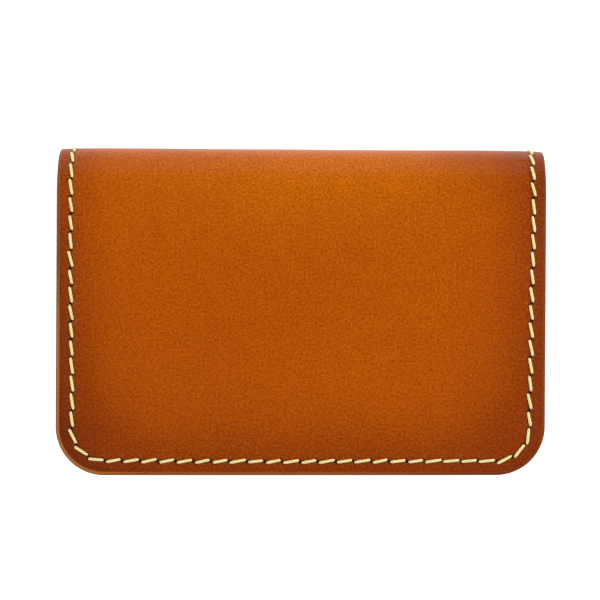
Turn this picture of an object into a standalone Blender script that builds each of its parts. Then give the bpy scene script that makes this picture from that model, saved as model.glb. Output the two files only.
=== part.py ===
"""Bifold card holder in saddle-stitched leather, closed and lying on its back.

X runs along the fold, +Y points at the fold and +Z out of the front cover. The
origin is under the middle of the holder, on the surface that it lies on.

One long cover wraps from the back over the fold to the front. Between the halves
are a gusseted card pocket, on the back, and two flat card slots, on the front.
The cover bends at the fold, so it is divided there into three slats on four
parallel hinge lines: each hinge line lies in the cover's outer face, and the
inner edges of the slats are mitred, which leaves them flat when the holder opens.

Every piece of a half is modelled as it lies on a bench: outer face down at z = 0,
fold edge at y = 0, open edge towards -Y. Its parent then puts it in place.
"""

import math

import bmesh
import bpy
from mathutils import Vector

# Overall sizes, in metres
WIDTH = 0.110
DEPTH = 0.0738
CORNER_RADIUS = 0.011

# Thickness of each layer, and the clearances between them
COVER = 0.0016
LINING = 0.0007
SLOT_PANEL = 0.0008
POCKET_PANEL = 0.0014
GUSSET_STRIP = 0.0008
CLEARANCE = 0.0003
CLOSING_GAP = 0.0012

# Gusset: the height that it holds the pocket open, its flat flanges and its crease
GUSSET_SPREAD = 0.0074
GUSSET_FLANGE = 0.0048
GUSSET_CREASE = 0.0085

# How far each pocket's mouth lies below the fold's end, in stitches
POCKET_MOUTH_STITCHES = 3
GUSSET_FOOT_STITCHES = 0
DEEP_SLOT_STITCHES = 3
SHALLOW_SLOT_STITCHES = 6

# Saddle stitching: the thread crosses the layers at every third stitch hole
SEAM_INSET = 0.0032
SEAM_START = 0.0022
STITCH_PITCH = 0.0040
STITCHES_PER_CROSSING = 3
THREAD_WIDTH = 0.00075
THREAD_THICKNESS = 0.0004
THREAD_RECESS = 0.0001
MOUTH_PAST_STITCH = 0.00025
CUTTER_REACH = 0.0010

# Fold
HINGE_LINES = 4
CORNER_STEPS = 6

# Heights of the layers of one half, from the cover's outer face inwards
LINING_LOW = COVER + CLEARANCE
LINING_HIGH = LINING_LOW + LINING
INNER_LOW = LINING_HIGH + CLEARANCE
DEEP_HIGH = INNER_LOW + SLOT_PANEL
SHALLOW_LOW = DEEP_HIGH + CLEARANCE
SHALLOW_HIGH = SHALLOW_LOW + SLOT_PANEL
GUSSET_HIGH = INNER_LOW + GUSSET_SPREAD
POCKET_LOW = GUSSET_HIGH + CLEARANCE
POCKET_HIGH = POCKET_LOW + POCKET_PANEL
THICKNESS = POCKET_HIGH + CLOSING_GAP + SHALLOW_HIGH

# The fold's cross-section: a polygon around a circle that touches both covers
FOLD_RADIUS = THICKNESS / 2
TURN = math.pi / HINGE_LINES
MITRE = math.tan(TURN / 2)
SLAT_LENGTH = 2 * FOLD_RADIUS * MITRE
FOLD_CENTRE_Y = DEPTH / 2 - FOLD_RADIUS
EDGE_GAP = CLEARANCE / 2 / math.cos(TURN / 2)
HALF_DEPTH = FOLD_CENTRE_Y + FOLD_RADIUS * MITRE + DEPTH / 2

# The groove that the outer thread lies in, and the width of a stitch hole
GROOVE_DEPTH = THREAD_RECESS + THREAD_THICKNESS + CLEARANCE
HOLE_WIDTH = THREAD_WIDTH + 2 * CLEARANCE

# The stitch on each slat, between holes that leave its ends clear of the next slat's
SLAT_INNER = SLAT_LENGTH - 2 * MITRE * (LINING_HIGH + CLEARANCE + THREAD_THICKNESS)
SLAT_STITCH = SLAT_INNER - THREAD_WIDTH - CLEARANCE


def hinge_point(number):
    """Centre of hinge line 1 to HINGE_LINES, in the cover's outer face."""
    angle = (number - 0.5) * TURN - math.pi / 2
    reach = FOLD_RADIUS / math.cos(TURN / 2)
    return Vector((0, FOLD_CENTRE_Y + reach * math.cos(angle), FOLD_RADIUS + reach * math.sin(angle)))


def side_y(stitches):
    """Where a panel's mouth lies: just past a stitch, counted down from the fold edge."""
    pitch = seam_length(HALF_DEPTH) / stitch_count(HALF_DEPTH)
    return -(SEAM_START + stitches * pitch) + THREAD_WIDTH / 2 + MOUTH_PAST_STITCH


def material(name, colour, roughness):
    """A plain finish for one kind of leather or thread."""
    finish = bpy.data.materials.new(name)
    finish.use_nodes = True
    shader = finish.node_tree.nodes["Principled BSDF"]
    shader.inputs["Base Color"].default_value = (*colour, 1)
    shader.inputs["Roughness"].default_value = roughness
    shader.inputs["Metallic"].default_value = 0
    return finish


def add_object(name, bm, finish, parent):
    """Turn a bmesh into one named object under its parent."""
    bmesh.ops.recalc_face_normals(bm, faces=bm.faces)
    mesh = bpy.data.meshes.new(name)
    bm.to_mesh(mesh)
    bm.free()
    piece = bpy.data.objects.new(name, mesh)
    bpy.context.collection.objects.link(piece)
    piece.parent = parent
    if finish:
        mesh.materials.append(finish)
    return piece


def add_empty(name, location, rotation=(0, 0, 0)):
    """A frame for the pieces of one body, on the axis that the body moves about."""
    empty = bpy.data.objects.new(name, None)
    bpy.context.collection.objects.link(empty)
    empty.location = location
    empty.rotation_euler = rotation
    return empty


def half_outline(fold_y, inset=0.0, depth=HALF_DEPTH):
    """Outline of a half from its fold edge round the rounded corners, and back."""
    centre_x = WIDTH / 2 - CORNER_RADIUS
    centre_y = CORNER_RADIUS - depth
    radius = CORNER_RADIUS - inset
    points = [(inset - WIDTH / 2, fold_y)]
    for side, first in ((-1, math.pi), (1, 1.5 * math.pi)):
        for step in range(CORNER_STEPS + 1):
            angle = first + step * math.pi / 2 / CORNER_STEPS
            points.append((side * centre_x + radius * math.cos(angle), centre_y + radius * math.sin(angle)))
    points.append((WIDTH / 2 - inset, fold_y))
    return points


def slat_outline(height):
    """Outline of one slat at a height above its outer face, mitred at both ends."""
    near = height * MITRE + EDGE_GAP
    far = SLAT_LENGTH - near
    half = WIDTH / 2
    return [(-half, near), (half, near), (half, far), (-half, far)]


def add_prism(name, low, high, low_outline, high_outline, finish, parent):
    """A panel between two outlines with the same number of corners."""
    bm = bmesh.new()
    bottom = [bm.verts.new((x, y, low)) for x, y in low_outline]
    top = [bm.verts.new((x, y, high)) for x, y in high_outline]
    bm.faces.new(bottom)
    bm.faces.new(top)
    for index in range(len(bottom)):
        after = (index + 1) % len(bottom)
        bm.faces.new((bottom[index], bottom[after], top[after], top[index]))
    return add_object(name, bm, finish, parent)


def add_mitred_half(name, low, high, finish, parent):
    """A full panel of one half, whose fold edge is mitred to meet the first slat."""
    low_outline = half_outline(-low * MITRE - EDGE_GAP)
    high_outline = half_outline(-high * MITRE - EDGE_GAP)
    return add_prism(name, low, high, low_outline, high_outline, finish, parent)


def add_slot(name, low, stitches, finish, parent):
    """A flat card slot's panel, whose mouth lies a number of stitches below the fold."""
    outline = half_outline(side_y(stitches))
    return add_prism(name, low, low + SLOT_PANEL, outline, outline, finish, parent)


def offset_line(points, distance):
    """A polyline moved sideways, with mitred corners."""
    moved = []
    for index, point in enumerate(points):
        normals = []
        for first, second in ((index - 1, index), (index, index + 1)):
            if first >= 0 and second < len(points):
                along = (Vector(points[second]) - Vector(points[first])).normalized()
                normals.append(Vector((-along.y, along.x)))
        across = (normals[0] + normals[-1]).normalized()
        moved.append(Vector(point) + across * distance / across.dot(normals[0]))
    return moved


def gusset_section():
    """Cross-section of the gusset, as (inset from the edge, height) corners."""
    low = INNER_LOW + GUSSET_STRIP / 2
    high = GUSSET_HIGH - GUSSET_STRIP / 2
    crease = (GUSSET_CREASE, (low + high) / 2)
    middle = [(0, low), (GUSSET_FLANGE, low), crease, (GUSSET_FLANGE, high), (0, high)]
    return offset_line(middle, GUSSET_STRIP / 2) + offset_line(middle, -GUSSET_STRIP / 2)[::-1]


def add_gusset(name, foot_y, mouth_y, finish, parent):
    """One strip, folded inwards along its middle, round three sides of the pocket."""
    bm = bmesh.new()
    columns = []
    for inset, height in gusset_section():
        share = (height - INNER_LOW) / GUSSET_SPREAD
        end_y = foot_y + share * (mouth_y - foot_y)
        columns.append([bm.verts.new((x, y, height)) for x, y in half_outline(end_y, inset)])
    for index, column in enumerate(columns):
        after = columns[(index + 1) % len(columns)]
        for row in range(len(column) - 1):
            bm.faces.new((column[row], column[row + 1], after[row + 1], after[row]))
    for row in (0, -1):
        bm.faces.new([column[row] for column in columns])
    return add_object(name, bm, finish, parent)


def seam_length(depth):
    """Length of the seam round one half, from its first stitch hole to its last."""
    leg = depth - CORNER_RADIUS - SEAM_START
    return 2 * leg + math.pi * (CORNER_RADIUS - SEAM_INSET) + WIDTH - 2 * CORNER_RADIUS


def stitch_count(depth):
    """Stitches in the seam round one half, a whole number of crossings apart."""
    crossings = round(seam_length(depth) / (STITCH_PITCH * STITCHES_PER_CROSSING))
    return crossings * STITCHES_PER_CROSSING


def seam_point(distance, depth):
    """Place and direction on the seam, a distance from its start at the fold."""
    leg = depth - CORNER_RADIUS - SEAM_START
    radius = CORNER_RADIUS - SEAM_INSET
    arc = radius * math.pi / 2
    centre_x = WIDTH / 2 - CORNER_RADIUS
    centre_y = CORNER_RADIUS - depth
    if distance <= leg:
        return Vector((-centre_x - radius, -SEAM_START - distance)), Vector((0, -1))
    if distance <= leg + arc:
        angle = math.pi + (distance - leg) / radius
        spot = Vector((-centre_x + radius * math.cos(angle), centre_y + radius * math.sin(angle)))
        return spot, Vector((-math.sin(angle), math.cos(angle)))
    if distance <= leg + arc + 2 * centre_x:
        return Vector((distance - leg - arc - centre_x, centre_y - radius)), Vector((1, 0))
    spot, direction = seam_point(seam_length(depth) - distance, depth)
    return Vector((-spot.x, spot.y)), Vector((direction.x, -direction.y))


def half_stitches(depth):
    """Stitch holes round a half: (place, direction, whether the thread crosses there)."""
    count = stitch_count(depth)
    holes = []
    for index in range(count + 1):
        place, direction = seam_point(seam_length(depth) * index / count, depth)
        holes.append((place, direction, index % STITCHES_PER_CROSSING == 0))
    return holes


def slat_stitches(side):
    """The two holes of the one stitch that fits on a slat's inner face."""
    x = side * (WIDTH / 2 - SEAM_INSET)
    middle = SLAT_LENGTH / 2
    spots = [middle - SLAT_STITCH / 2, middle + SLAT_STITCH / 2]
    return [(Vector((x, y)), Vector((0, 1)), True) for y in spots]


def seam_rows(stitches, width):
    """Left and right points along a seam: (left, right, hole index, starts a crossing)."""
    rows = []
    for index, (centre, direction, crosses) in enumerate(stitches):
        across = Vector((-direction.y, direction.x)) * width / 2
        along = direction * width / 2
        if crosses:
            rows.append((centre - along + across, centre - along - across, index, True))
            rows.append((centre + along + across, centre + along - across, index, False))
        else:
            rows.append((centre + across, centre - across, index, False))
    return rows


def add_runs(bm, columns, starts, runs, rungs):
    """Skin a ladder of runs along a seam and the crossings that join them.

    columns holds, for each row of the seam, its left and right vertices by height.
    runs are the gaps between heights that are solid along the whole seam, and rungs
    are those that are solid only at a crossing.
    """
    last = len(columns) - 1
    for index in range(last):
        near, far = columns[index], columns[index + 1]
        solid = sorted(runs + rungs) if starts[index] else runs
        for level in solid:
            for side in (0, 1):
                corners = near[side][level], far[side][level], far[side][level + 1], near[side][level + 1]
                bm.faces.new(corners)
        for level in range(len(near[0])):
            if (level in solid) != (level - 1 in solid):
                bm.faces.new((near[0][level], near[1][level], far[1][level], far[0][level]))
    for index, row in enumerate(columns):
        before = index > 0 and starts[index - 1]
        is_end = index in (0, last)
        closed = sorted(runs + rungs) if is_end else rungs if before or starts[index] else []
        for level in closed:
            bm.faces.new((row[0][level], row[1][level], row[1][level + 1], row[0][level + 1]))


def add_thread(name, stitches, tops, finish, parent):
    """A seam's thread: a run on each face, joined through the layers at each crossing."""
    bm = bmesh.new()
    rows = seam_rows(stitches, THREAD_WIDTH)
    columns = []
    for left, right, index, _ in rows:
        inner = tops[index] + CLEARANCE
        heights = (THREAD_RECESS, THREAD_RECESS + THREAD_THICKNESS, inner, inner + THREAD_THICKNESS)
        columns.append([[bm.verts.new((*corner, height)) for height in heights] for corner in (left, right)])
    add_runs(bm, columns, [row[3] for row in rows], [0, 2], [1])
    return add_object(name, bm, finish, parent)


def add_seam_cutter(name, stitches, reach, parent):
    """What the thread needs in the layers: a groove in the outer face, and the holes."""
    bm = bmesh.new()
    rows = seam_rows(stitches, HOLE_WIDTH)
    columns = []
    for left, right, _, _ in rows:
        heights = (-CUTTER_REACH, GROOVE_DEPTH, reach)
        columns.append([[bm.verts.new((*corner, height)) for height in heights] for corner in (left, right)])
    add_runs(bm, columns, [row[3] for row in rows], [0], [1])
    for vert in [vert for vert in bm.verts if not vert.link_faces]:
        bm.verts.remove(vert)
    cutter = add_object(name, bm, None, parent)
    cutter.hide_render = True
    cutter.display_type = "WIRE"
    return cutter


def cut(piece, cutter):
    """Cut a seam's groove and holes into a layer."""
    boolean = piece.modifiers.new("stitch_holes", "BOOLEAN")
    boolean.operation = "DIFFERENCE"
    boolean.solver = "EXACT"
    boolean.object = cutter


def layer_tops(stitches, layers):
    """Height of the innermost layer at each stitch hole, from (mouth, top) pairs."""
    return [max(top for mouth, top in layers if place.y < mouth) for place, _, _ in stitches]


def build_back(parent, leather, lining_leather, thread):
    """The half that lies on the table: cover, lining and the seam that closes it."""
    stitches = half_stitches(HALF_DEPTH)
    foot_top = INNER_LOW + GUSSET_STRIP
    layers = [(0, LINING_HIGH), (side_y(GUSSET_FOOT_STITCHES), foot_top)]
    cutter = add_seam_cutter("back_seam_cutter", stitches, foot_top + CLEARANCE, parent)
    cover = add_mitred_half("back_cover", 0, COVER, leather, parent)
    lining = add_mitred_half("back_lining", LINING_LOW, LINING_HIGH, lining_leather, parent)
    for piece in (cover, lining):
        cut(piece, cutter)
    add_thread("back_seam_thread", stitches, layer_tops(stitches, layers), thread, parent)
    return cutter


def build_pocket(parent, leather, thread):
    """The pocket's front panel, stitched to the gusset, lying on its outer face."""
    depth = HALF_DEPTH + side_y(POCKET_MOUTH_STITCHES)
    stitches = half_stitches(depth)
    flange_top = POCKET_PANEL + CLEARANCE + GUSSET_STRIP
    cutter = add_seam_cutter("pocket_seam_cutter", stitches, flange_top + CLEARANCE, parent)
    outline = half_outline(0, 0, depth)
    cut(add_prism("pocket_front", 0, POCKET_PANEL, outline, outline, leather, parent), cutter)
    add_thread("pocket_seam_thread", stitches, [flange_top] * len(stitches), thread, parent)
    return cutter


def build_front(parent, leather, lining_leather, thread):
    """The half that swings open: cover, lining, two card slots and their seam."""
    stitches = half_stitches(HALF_DEPTH)
    layers = [(0, LINING_HIGH), (side_y(DEEP_SLOT_STITCHES), DEEP_HIGH)]
    layers.append((side_y(SHALLOW_SLOT_STITCHES), SHALLOW_HIGH))
    cutter = add_seam_cutter("front_seam_cutter", stitches, SHALLOW_HIGH + CLEARANCE, parent)
    pieces = [
        add_mitred_half("front_cover", 0, COVER, leather, parent),
        add_mitred_half("front_lining", LINING_LOW, LINING_HIGH, lining_leather, parent),
        add_slot("slot_panel_deep", INNER_LOW, DEEP_SLOT_STITCHES, lining_leather, parent),
        add_slot("slot_panel_shallow", SHALLOW_LOW, SHALLOW_SLOT_STITCHES, lining_leather, parent),
    ]
    for piece in pieces:
        cut(piece, cutter)
    add_thread("front_seam_thread", stitches, layer_tops(stitches, layers), thread, parent)


def build_slat(number, parent, leather, lining_leather, thread):
    """One slat of the fold, with its lining and a stitch at each end."""
    layers = [("leather", 0, COVER, leather), ("lining", LINING_LOW, LINING_HIGH, lining_leather)]
    pieces = []
    for name, low, high, finish in layers:
        outlines = slat_outline(low), slat_outline(high)
        pieces.append(add_prism(f"spine_{name}_{number}", low, high, *outlines, finish, parent))
    for side_name, side in (("left", -1), ("right", 1)):
        stitches = slat_stitches(side)
        reach = LINING_HIGH + CLEARANCE
        cutter = add_seam_cutter(f"spine_{side_name}_cutter_{number}", stitches, reach, parent)
        for piece in pieces:
            cut(piece, cutter)
        tops = [LINING_HIGH] * len(stitches)
        add_thread(f"spine_thread_{side_name}_{number}", stitches, tops, thread, parent)


def build():
    """Build every piece, body by body."""
    for old in list(bpy.data.objects):
        bpy.data.objects.remove(old, do_unlink=True)

    cover_leather = material("cover_leather", (0.48, 0.10, 0.006), 0.38)
    lining_leather = material("lining_leather", (0.55, 0.27, 0.10), 0.62)
    pocket_leather = material("pocket_leather", (0.50, 0.14, 0.015), 0.45)
    gusset_leather = material("gusset_leather", (0.42, 0.13, 0.02), 0.50)
    thread = material("thread", (0.86, 0.72, 0.42), 0.60)

    back_frame = add_empty("back_frame", hinge_point(1))
    back_cutter = build_back(back_frame, cover_leather, lining_leather, thread)

    mouth_y = side_y(POCKET_MOUTH_STITCHES)
    pocket_place = hinge_point(1) + Vector((0, mouth_y, POCKET_HIGH))
    pocket_frame = add_empty("pocket_frame", pocket_place, (0, math.pi, 0))
    pocket_cutter = build_pocket(pocket_frame, pocket_leather, thread)

    foot_y = side_y(GUSSET_FOOT_STITCHES)
    gusset = add_gusset("gusset", foot_y, mouth_y, gusset_leather, back_frame)
    cut(gusset, back_cutter)
    cut(gusset, pocket_cutter)

    for number in range(1, HINGE_LINES):
        slat_frame = add_empty(f"fold_frame_{number}", hinge_point(number), (number * TURN, 0, 0))
        build_slat(number, slat_frame, cover_leather, lining_leather, thread)

    front_frame = add_empty("front_frame", hinge_point(HINGE_LINES), (0, math.pi, 0))
    build_front(front_frame, cover_leather, lining_leather, thread)
    bpy.context.view_layer.update()


build()
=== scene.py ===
# %% [markdown]
# # A folding card holder in saddle-stitched leather
#
# The holder lies closed on its back, with the fold away from us. The cover is one
# piece of hand-dyed leather that wraps round the fold. Inside are a lining, a pocket
# with a folded gusset and two flat card slots, and one seam of cream thread closes
# the edge all the way round.
#
# Each step below says what the piece is, how it could be made, and why it is made
# this way. All lengths are in metres unless a name says otherwise.

# %% Load the fixed frame
import math

import bpy
import numpy as np
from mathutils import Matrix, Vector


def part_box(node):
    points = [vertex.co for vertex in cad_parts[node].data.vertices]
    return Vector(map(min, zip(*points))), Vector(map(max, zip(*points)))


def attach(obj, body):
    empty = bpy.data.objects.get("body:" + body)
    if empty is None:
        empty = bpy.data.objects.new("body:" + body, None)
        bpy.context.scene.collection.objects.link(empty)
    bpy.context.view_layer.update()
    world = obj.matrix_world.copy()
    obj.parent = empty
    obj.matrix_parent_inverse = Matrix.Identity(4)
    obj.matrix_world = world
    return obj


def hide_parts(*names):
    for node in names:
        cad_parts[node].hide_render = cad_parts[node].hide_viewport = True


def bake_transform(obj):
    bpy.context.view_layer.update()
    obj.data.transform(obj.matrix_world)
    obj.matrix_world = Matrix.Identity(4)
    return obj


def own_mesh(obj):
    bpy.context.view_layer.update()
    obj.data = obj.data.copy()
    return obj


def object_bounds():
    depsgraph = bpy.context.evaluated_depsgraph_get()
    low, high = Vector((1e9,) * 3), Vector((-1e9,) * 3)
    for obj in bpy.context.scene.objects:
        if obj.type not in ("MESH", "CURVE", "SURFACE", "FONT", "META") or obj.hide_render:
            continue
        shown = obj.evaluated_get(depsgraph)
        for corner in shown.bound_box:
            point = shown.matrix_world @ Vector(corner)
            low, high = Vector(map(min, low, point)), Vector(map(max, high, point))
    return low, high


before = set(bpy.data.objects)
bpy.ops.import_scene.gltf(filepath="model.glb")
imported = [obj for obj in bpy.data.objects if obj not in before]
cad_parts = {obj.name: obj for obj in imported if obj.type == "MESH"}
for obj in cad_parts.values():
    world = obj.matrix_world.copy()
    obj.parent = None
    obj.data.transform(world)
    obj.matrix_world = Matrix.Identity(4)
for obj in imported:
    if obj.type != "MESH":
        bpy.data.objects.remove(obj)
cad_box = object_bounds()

CAD_LOW, CAD_HIGH = cad_box
print("holder", [round(1000 * side, 1) for side in CAD_HIGH - CAD_LOW], "mm")

# %% [markdown]
# ## Sizes
#
# The overall sizes and the heights of the layers come from the frame. What the frame
# can't say, such as how round a cut edge is, is a named value here.

# %% Sizes read from the frame, and sizes of the fine detail
MM = 0.001
WIDTH = CAD_HIGH.x - CAD_LOW.x
DEPTH = CAD_HIGH.y - CAD_LOW.y
HEIGHT = CAD_HIGH.z - CAD_LOW.z
CORNER_RADIUS = 11 * MM
SEAM_INSET = 3.2 * MM
STITCH_PITCH = 4.0 * MM
LAYER_GAP = 0.05 * MM

POCKET_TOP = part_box("pocket_front")[1].z
POCKET_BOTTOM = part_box("pocket_front")[0].z
POCKET_MOUTH_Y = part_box("pocket_front")[1].y
LINING_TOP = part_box("back_lining")[1].z
GUSSET_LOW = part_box("gusset")[0].z
GUSSET_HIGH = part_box("gusset")[1].z
GUSSET_FOOT_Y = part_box("gusset")[1].y
DEEP_MOUTH_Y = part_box("slot_panel_deep")[1].y
SHALLOW_MOUTH_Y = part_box("slot_panel_shallow")[1].y

# Depths below the cover's outer face, from one layer to the next
LINING_AT = 1.80 * MM
INNER_AT = LINING_TOP - CAD_LOW.z + 0.15 * MM
SHALLOW_AT = CAD_HIGH.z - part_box("slot_panel_shallow")[1].z - LAYER_GAP
SHALLOW_END = CAD_HIGH.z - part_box("slot_panel_shallow")[0].z
FLANGE_END = INNER_AT + 0.95 * MM
print("pocket", round(1000 * (POCKET_BOTTOM - LINING_TOP), 1), "mm deep inside")

# %% [markdown]
# ## The fold as a curve
#
# Leather doesn't crease like card: it rolls over in a long, soft curve. The curve could
# be bent with a Simple Deform modifier, but every layer, stitch and panel has to follow
# it exactly. So each piece is laid out flat first, as on the cutting table, with x along
# the fold, v across it (0 at the fold's crest, positive towards the front's open edge)
# and w down into the leather. One function then places a flat point on the folded holder.

# %% The profile of the folded cover's outer face
FOLD_REACH = 11 * MM
FOLD_SKEW = 0.35 * MM
FOLD_SHIFT = 0.42 * MM
FRONT_DROP = 0.35 * MM
BACK_RISE = 0.42 * MM


def fold_profile(steps=900):
    """Outer face from the back's open edge, round half an ellipse, to the front's."""
    angle = np.linspace(-math.pi / 2, math.pi / 2, steps)
    y = CAD_HIGH.y - FOLD_REACH * (1 - np.cos(angle))
    z = CAD_LOW.z + HEIGHT / 2 * (1 + np.sin(angle))
    y = np.concatenate(([CAD_LOW.y, y[0] - MM], y, [y[-1] - MM, CAD_LOW.y]))
    z = np.concatenate((z[:1], z[:1], z, z[-1:], z[-1:]))
    along = np.concatenate(([0], np.cumsum(np.hypot(np.diff(y), np.diff(z)))))
    return along - along[-1] / 2, y, z


ALONG, PROFILE_Y, PROFILE_Z = fold_profile()
HALF_LENGTH = ALONG[-1]
TURN_AT = np.unwrap(np.arctan2(np.gradient(PROFILE_Z, ALONG), np.gradient(PROFILE_Y, ALONG)))


print("cover laid flat", round(2000 * HALF_LENGTH, 1), "x", round(1000 * WIDTH, 1), "mm")

# %% Place flat points on the folded holder


def smooth(value, low, high):
    """0 below low, 1 above high, and an S-curve between."""
    share = np.clip((value - low) / (high - low), 0, 1)
    return share * share * (3 - 2 * share)


def place(x, v, w):
    """World points of flat points: across the fold at v, and w below the outer face."""
    turn = np.interp(v, ALONG, TURN_AT)
    y = np.interp(v, ALONG, PROFILE_Y) - w * np.sin(turn)
    z = np.interp(v, ALONG, PROFILE_Z) + w * np.cos(turn)
    near_fold = 1 - smooth(np.abs(v), 10 * MM, 35 * MM)
    y = y - FOLD_SKEW * near_fold * x / (WIDTH / 2)
    z = z - FRONT_DROP * smooth(v, 20 * MM, HALF_LENGTH) + BACK_RISE * smooth(-v, 4 * MM, 14 * MM)
    return np.stack([x + FOLD_SHIFT * (1 - np.abs(v) / HALF_LENGTH), y, z], axis=-1)


def flat_v(y):
    """How far the front's flat part at y lies from the crest of the fold."""
    return HALF_LENGTH - (y - CAD_LOW.y)


print("the crest lies at", [round(1000 * side, 1) for side in place(0.0, 0.0, 0.0)], "mm")

# %% [markdown]
# ## Where the fold bends
#
# The frame opens on four hinge lines, and a piece can bend across one joint at a time.
# The leather is therefore cut into four pieces where a slat's own direction meets the
# curve: they share their edge points and their normals, so no seam shows.

# %% Cuts across the fold, and the stretch that each joint spans
QUARTER_TURN = math.radians(42)
BEND_START = 0.2


def v_at_turn(angle):
    """The flat v where the cover has turned by an angle from the back's direction."""
    return float(np.interp(angle, TURN_AT, ALONG))


FIRST_CUT = v_at_turn(QUARTER_TURN)
CUTS = [-HALF_LENGTH - MM, FIRST_CUT, 0.0, -FIRST_CUT, HALF_LENGTH + MM]
BEND_FROM = v_at_turn(0.02) * (1 - BEND_START) + FIRST_CUT * BEND_START
BENDS = [(BEND_FROM, FIRST_CUT), (FIRST_CUT, 0.0), (0.0, -FIRST_CUT), (-FIRST_CUT, -BEND_FROM)]
STIFF_END = 1.4 * MM


def bend(piece, section):
    """Bake a piece's transform into its mesh. The ends of its joint, pulled in near a cut, are worked
    out but not used.
    """
    start, end = (place(0.0, v, 0.0) for v in BENDS[section])
    along = (end - start) / np.linalg.norm(end - start)
    if section > 0:
        start = start + along * STIFF_END
    if section < len(BENDS) - 1:
        end = end - along * STIFF_END
    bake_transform(piece)


print("cuts at v =", [round(1000 * v, 1) for v in CUTS[1:4]], "mm")

# %% [markdown]
# ## The seam as a coordinate
#
# The seam is a rounded rectangle, a little inside the cover's edge, that goes down the
# front, along the open edge and back over the fold to the other half. Two numbers say
# where any flat point is in relation to it: how far along the seam, and how far to its
# side. The stitches, the furrow that they pull into the leather and the dark awl holes
# all use them.

# %% The seam's line and pitch
SEAM_RADIUS = CORNER_RADIUS - SEAM_INSET
SEAM_X = WIDTH / 2 - CORNER_RADIUS
SEAM_V = HALF_LENGTH - CORNER_RADIUS
SEAM_QUARTER = SEAM_V + SEAM_RADIUS * math.pi / 2 + SEAM_X
STITCH_COUNT = round(4 * SEAM_QUARTER / STITCH_PITCH)
PITCH = 4 * SEAM_QUARTER / STITCH_COUNT


# Where along the seam the maker's line strays, over what length, and how far outwards
STRAYS_MM = [(60, 17, -0.55), (182, 13, -0.40), (227, 13, 0.38)]
STRAYS_MM += [(290, 20, -0.30), (370, 25, 0.20), (440, 20, -0.35)]


def seam_wander(along):
    """How far outwards the hand-marked seam line strays from its true line."""
    turn = 2 * math.pi * along / (4 * SEAM_QUARTER)
    stray = 0.05 * MM * np.sin(8 * turn + 2.0) + 0.03 * MM * np.sin(21 * turn)
    for middle, length, amount in STRAYS_MM:
        stray = stray + amount * MM * np.exp(-(((along - middle * MM) / (length * MM)) ** 2))
    return stray


print(STITCH_COUNT, "stitches,", round(1000 * PITCH, 2), "mm apart")

# %% From a flat point to seam coordinates


def seam_place(x, v):
    """(along, across) the seam for flat points. across is negative towards the middle."""
    out_x, out_v = np.abs(x) - SEAM_X, np.abs(v) - SEAM_V
    corner = (out_x > 0) & (out_v > 0)
    along_side = out_x >= out_v
    across = np.where(corner, np.hypot(out_x, out_v), np.maximum(out_x, out_v)) - SEAM_RADIUS
    arc = SEAM_RADIUS * np.arctan2(np.maximum(out_v, 0), np.maximum(out_x, 1e-9))
    along_end = SEAM_QUARTER - np.minimum(np.abs(x), SEAM_X)
    along = np.where(along_side, np.minimum(np.abs(v), SEAM_V), along_end)
    along = np.where(corner, SEAM_V + arc, along)
    turned = np.where(v >= 0, np.where(x < 0, along, 2 * SEAM_QUARTER - along), 0)
    back = np.where(x >= 0, 2 * SEAM_QUARTER + along, 4 * SEAM_QUARTER - along)
    along = np.where(v >= 0, turned, back)
    return along, across - seam_wander(along)


crest_across = float(seam_place(-WIDTH / 2, 0.0)[1])
print("the fold's left edge lies", round(1000 * crest_across, 2), "mm outside the seam")

# %% From a distance along the seam to a flat point


def seam_point(along):
    """The flat point (x, v) at a distance along the seam, and the direction there."""
    part, rest = divmod(along, SEAM_QUARTER)
    side_x = -1 if part in (0, 3) else 1
    side_v = 1 if part in (0, 1) else -1
    reverse = part in (1, 3)
    rest = SEAM_QUARTER - rest if reverse else rest
    corner_end = SEAM_V + SEAM_RADIUS * math.pi / 2
    if rest < SEAM_V:
        x, v, direction = SEAM_X + SEAM_RADIUS, rest, (0.0, 1.0)
    elif rest < corner_end:
        angle = (rest - SEAM_V) / SEAM_RADIUS
        x, v = SEAM_X + SEAM_RADIUS * math.cos(angle), SEAM_V + SEAM_RADIUS * math.sin(angle)
        direction = (-math.sin(angle), math.cos(angle))
    else:
        x, v, direction = SEAM_X - (rest - corner_end), SEAM_V + SEAM_RADIUS, (-1.0, 0.0)
    sign = -1 if reverse else 1
    direction = (sign * side_x * direction[0], sign * side_v * direction[1])
    stray = float(seam_wander(along))
    return side_x * x - stray * direction[1], side_v * v + stray * direction[0], direction


print("the seam starts at x, v =", [round(1000 * side, 1) for side in seam_point(0.0)[:2]], "mm")

# %% [markdown]
# ## Shader groups
#
# Every leather here has pores, clouds of dye and a burnished edge, only in other sizes
# and strengths. A node group does each of these once, with named inputs. The groups put
# out heights and masks, and each material decides what to do with them.

# %% Helpers for groups and for single nodes


def new_group(name, inputs, outputs):
    """A shader node group with float or vector inputs and float outputs."""
    tree = bpy.data.node_groups.new(name, "ShaderNodeTree")
    for socket_name, kind, default in inputs:
        socket = tree.interface.new_socket(socket_name, in_out="INPUT", socket_type=kind)
        if default is not None:
            socket.default_value = default
    for socket_name in outputs:
        tree.interface.new_socket(socket_name, in_out="OUTPUT", socket_type="NodeSocketFloat")
    return tree, tree.nodes.new("NodeGroupInput"), tree.nodes.new("NodeGroupOutput")


def math_node(tree, operation, first, second=None, third=None, clamp=False):
    """A Math node whose inputs are sockets or plain numbers."""
    node = tree.nodes.new("ShaderNodeMath")
    node.operation, node.use_clamp = operation, clamp
    for index, value in enumerate((first, second, third)):
        if isinstance(value, bpy.types.NodeSocket):
            tree.links.new(value, node.inputs[index])
        elif value is not None:
            node.inputs[index].default_value = value
    return node.outputs[0]


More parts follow.
